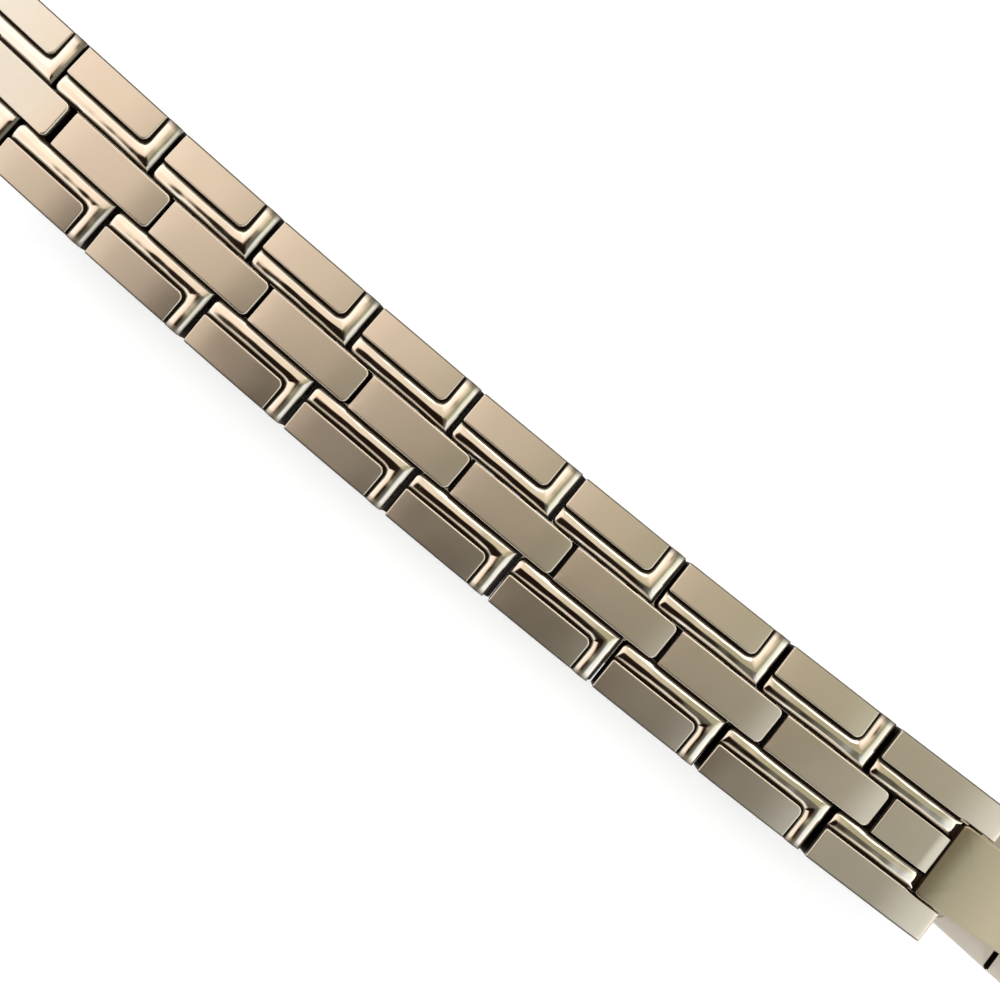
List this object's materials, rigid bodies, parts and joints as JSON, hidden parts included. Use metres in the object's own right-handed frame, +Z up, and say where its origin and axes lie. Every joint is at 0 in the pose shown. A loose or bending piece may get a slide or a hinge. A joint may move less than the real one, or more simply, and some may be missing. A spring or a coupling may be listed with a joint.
{
  "type": "magnetic bracelet",
  "caption": "Three-row steel link bracelet with satin links, polished L-shaped beads, magnets in the backs and a curved clasp plate, fastened into a loop and lying flat.",
  "frame": {"origin": "centre of the footprint, on the surface that the bracelet lies on", "axes": "+X along the loop, from the turn of links to the clasp; +Y across the band; +Z up"},
  "size_m": [0.1011, 0.0112, 0.0253],
  "materials": {
    "satin_steel": "satin",
    "polished_steel": "polished",
    "magnet_plating": "plated"
  },
  "bodies": {
    "root": {"side_links_01": "satin_steel", "side_links_02": "satin_steel", "side_links_03": "satin_steel", "side_links_04": "satin_steel", "side_links_05": "satin_steel", "side_links_06": "satin_steel", "side_links_07": "satin_steel", "side_links_08": "satin_steel", "side_links_09": "satin_steel", "side_links_10": "satin_steel", "side_links_11": "satin_steel", "side_links_12": "satin_steel", "side_links_13": "satin_steel", "side_links_14": "satin_steel", "side_links_15": "satin_steel", "side_links_16": "satin_steel", "side_links_17": "satin_steel", "side_links_18": "satin_steel", "side_links_19": "satin_steel", "side_links_20": "satin_steel", "side_links_21": "satin_steel", "side_links_22": "satin_steel", "side_links_23": "satin_steel", "centre_link_01": "satin_steel", "centre_link_02": "satin_steel", "centre_link_03": "satin_steel", "centre_link_04": "satin_steel", "centre_link_05": "satin_steel", "centre_link_06": "satin_steel", "centre_link_07": "satin_steel", "centre_link_08": "satin_steel", "centre_link_09": "satin_steel", "centre_link_10": "satin_steel", "centre_link_11": "satin_steel", "centre_link_12": "satin_steel", "centre_link_13": "satin_steel", "centre_link_14": "satin_steel", "centre_link_15": "satin_steel", "centre_link_16": "satin_steel", "centre_link_17": "satin_steel", "centre_link_18": "satin_steel", "centre_link_19": "satin_steel", "centre_link_20": "satin_steel", "centre_link_21": "satin_steel", "centre_link_22": "satin_steel", "centre_link_23": "satin_steel", "end_link_a": "satin_steel", "end_link_b": "satin_steel", "clasp_plate": "satin_steel", "hinge_pins": "polished_steel", "fixed_pins": "polished_steel", "magnets": "magnet_plating"}
  },
  "joints": []
}
